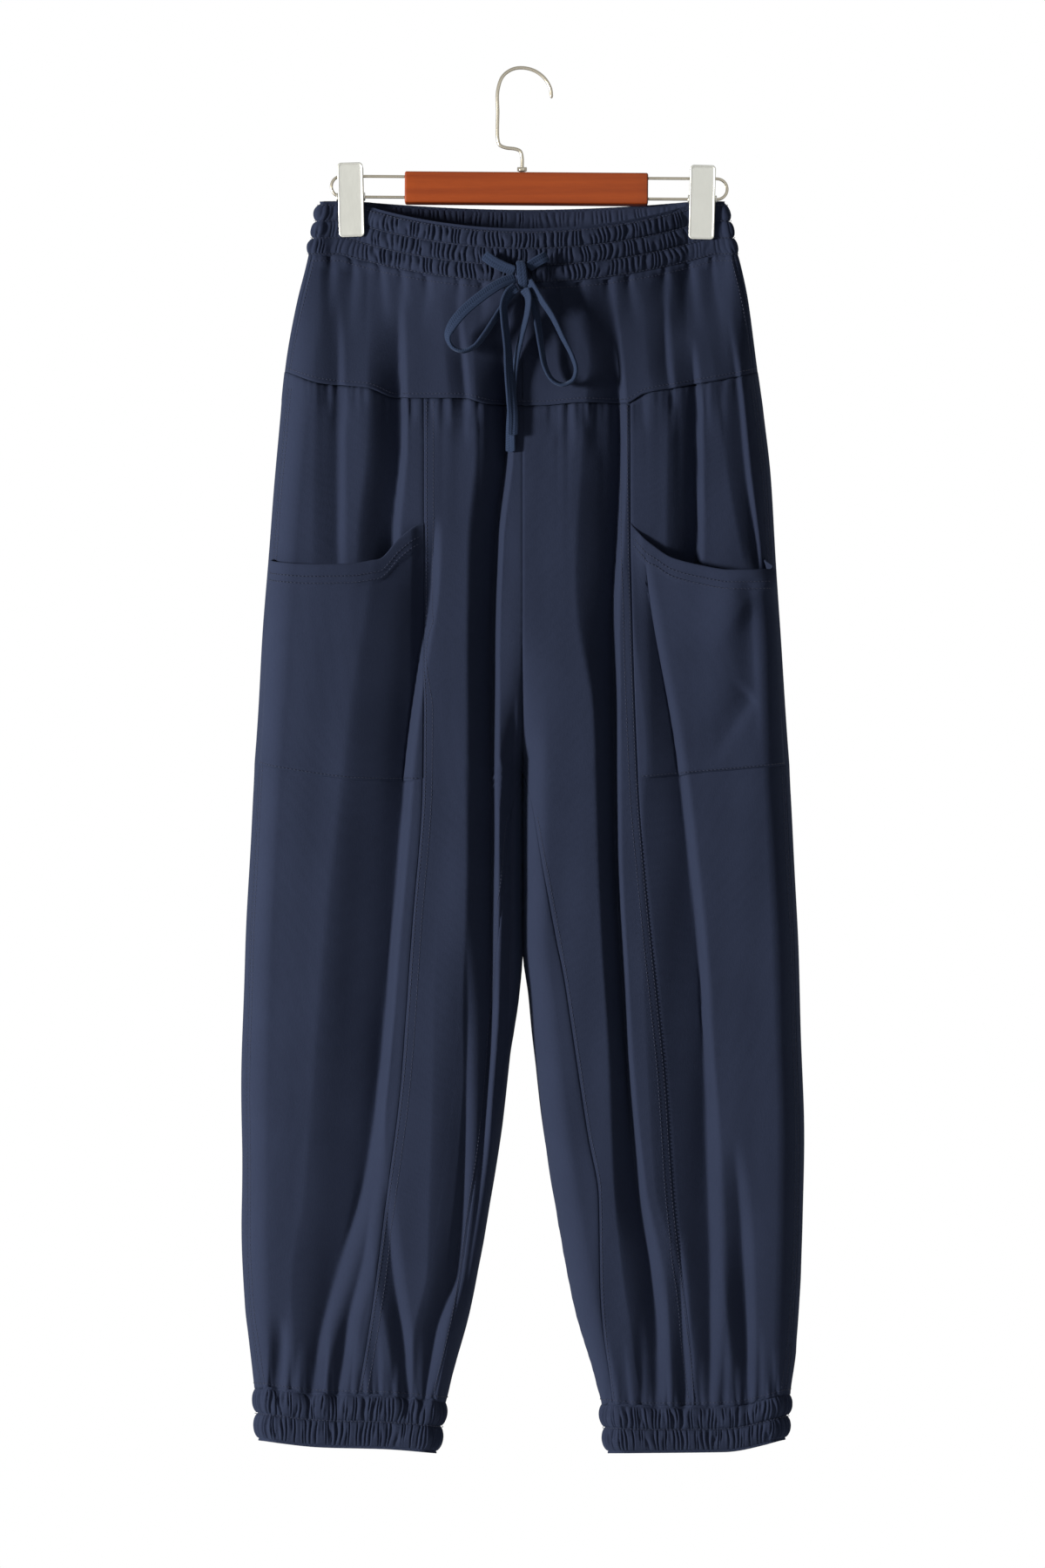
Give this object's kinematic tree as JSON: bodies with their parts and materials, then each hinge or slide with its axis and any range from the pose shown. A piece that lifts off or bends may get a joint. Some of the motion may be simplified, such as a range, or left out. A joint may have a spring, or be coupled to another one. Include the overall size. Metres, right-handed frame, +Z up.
{
  "type": "wide-leg drawstring pants on a clip hanger",
  "caption": "Navy wide-leg pants with a gathered elastic waist, front and back yokes, patch pockets, gathered elastic cuffs and a tied drawstring, hanging flat from a wooden clip hanger.",
  "frame": {"origin": "inside of the hook's crown, where a rail carries the hanger", "axes": "+Z up along the garment, +X to the right of someone who looks at its front, +Y from the front to the back"},
  "size_m": [0.4499, 0.1029, 1.1146],
  "materials": {
    "cloth": "matte navy jersey fleece",
    "cord": "matte braided cord",
    "wood": "satin varnished orange-brown wood",
    "steel": "polished wire",
    "plate": "satin nickel plate"
  },
  "bodies": {
    "root": {"waistband": "cloth", "yoke_front": "cloth", "yoke_back": "cloth", "side_front_left": "cloth", "centre_front_left": "cloth", "back_left": "cloth", "pocket_left": "cloth", "cuff_left": "cloth", "side_front_right": "cloth", "centre_front_right": "cloth", "back_right": "cloth", "pocket_right": "cloth", "cuff_right": "cloth", "drawstring_knot": "cord", "drawstring_lead_left": "cord", "drawstring_lead_right": "cord", "drawstring_loop_left": "cord", "drawstring_loop_right": "cord", "drawstring_tail_left": "cord", "drawstring_tail_right": "cord", "hanger_bar": "wood", "hanger_hook": "steel", "hanger_nut": "steel", "hanger_wire_left": "steel", "hanger_wire_right": "steel", "clip_left_spring": "steel", "clip_right_spring": "steel", "clip_left_front": "plate", "clip_left_back": "plate", "clip_right_front": "plate", "clip_right_back": "plate"}
  },
  "joints": []
}
